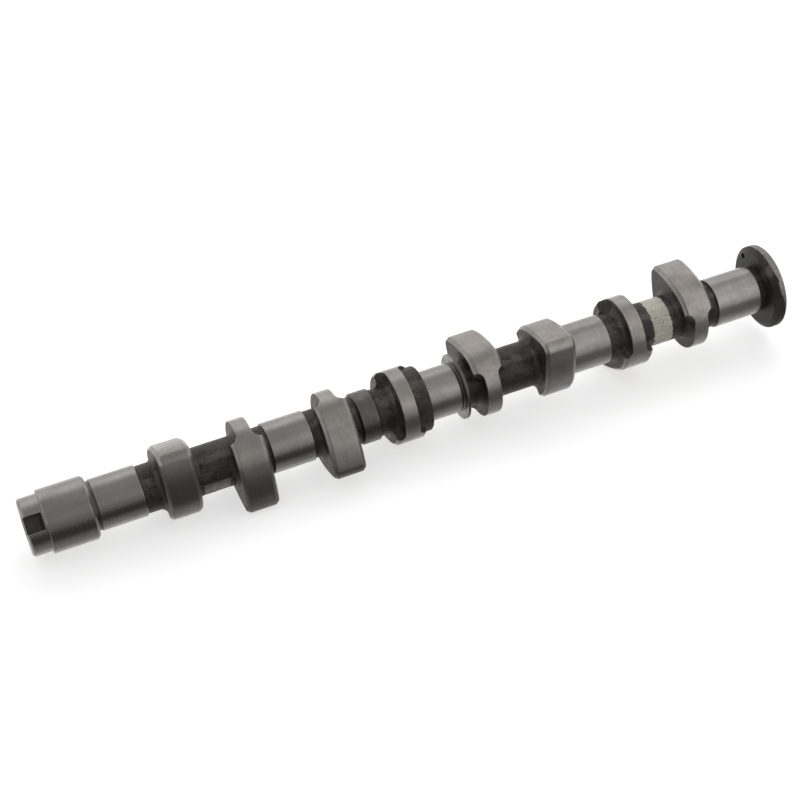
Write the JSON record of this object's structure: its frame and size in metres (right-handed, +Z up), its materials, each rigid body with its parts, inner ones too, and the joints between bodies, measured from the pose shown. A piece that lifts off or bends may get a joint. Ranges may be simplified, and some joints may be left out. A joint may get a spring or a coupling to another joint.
{
  "type": "camshaft",
  "caption": "Overhead camshaft for a small inline engine: ground bearing journals, relieved cam lobes, a seal race, a slotted sprocket seat and a bevelled rear disc.",
  "frame": {"origin": "on the axis of the shaft, in the plane of the shoulder that the timing sprocket seats against", "axes": "+X along the shaft from its front end, which holds the sprocket, to its rear end; +Z up as the shaft lies at rest on its lobes; +Y across"},
  "size_m": [0.407, 0.0508, 0.0508],
  "materials": {
    "chilled_iron": "as cast and dark between the features; journals, seal race, seat and lobe faces ground to a satin grey"
  },
  "bodies": {
    "root": {"camshaft": "chilled_iron"}
  },
  "joints": []
}
